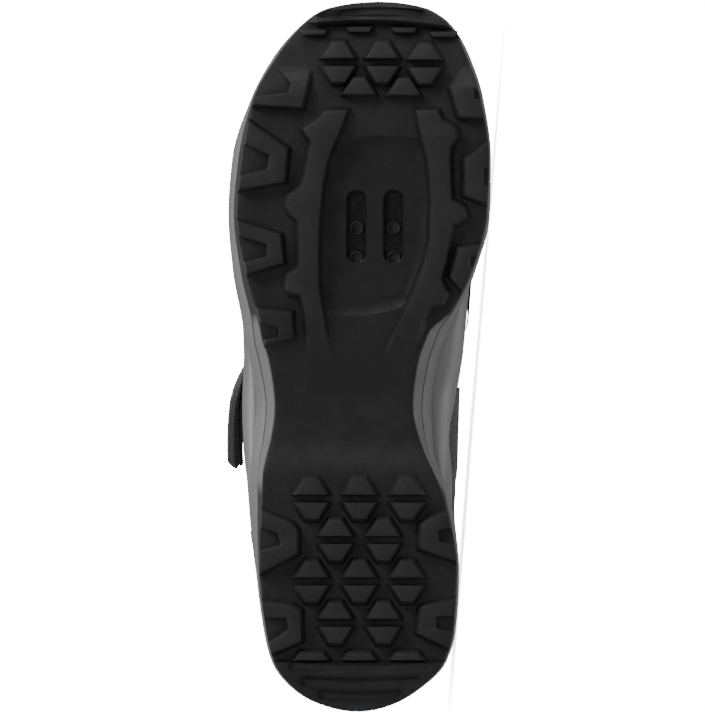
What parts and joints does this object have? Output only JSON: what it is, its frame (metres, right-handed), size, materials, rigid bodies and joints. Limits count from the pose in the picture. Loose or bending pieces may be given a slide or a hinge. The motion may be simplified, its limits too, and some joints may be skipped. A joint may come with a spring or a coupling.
{
  "type": "cycling shoe",
  "caption": "Right cycling shoe lying on its inner side: lugged rubber outsole with a recess and slots for a bolted cleat, hollow upper, tongue and hook-and-loop straps",
  "frame": {"origin": "on the floor under the middle of the box of the shoe, which lies on its inner side", "axes": "+X towards the toe, the sole faces -Y, the outer side of the shoe is up, +Z"},
  "size_m": [0.2682, 0.1154, 0.0987],
  "materials": {
    "rubber": "matt moulded black rubber",
    "sidewall": "smooth dark grey moulded sidewall",
    "steel": "plated threaded plate",
    "lining": "black knitted lining",
    "synthetic": "smooth grey-black synthetic leather with a low sheen",
    "webbing": "coarse woven black hook-and-loop strap"
  },
  "bodies": {
    "root": {"outsole": "rubber", "midsole": "sidewall", "cleat_plate": "steel", "insole": "lining", "upper": "synthetic", "tongue": "lining", "strap_instep": "webbing", "strap_forefoot": "webbing"}
  },
  "joints": []
}
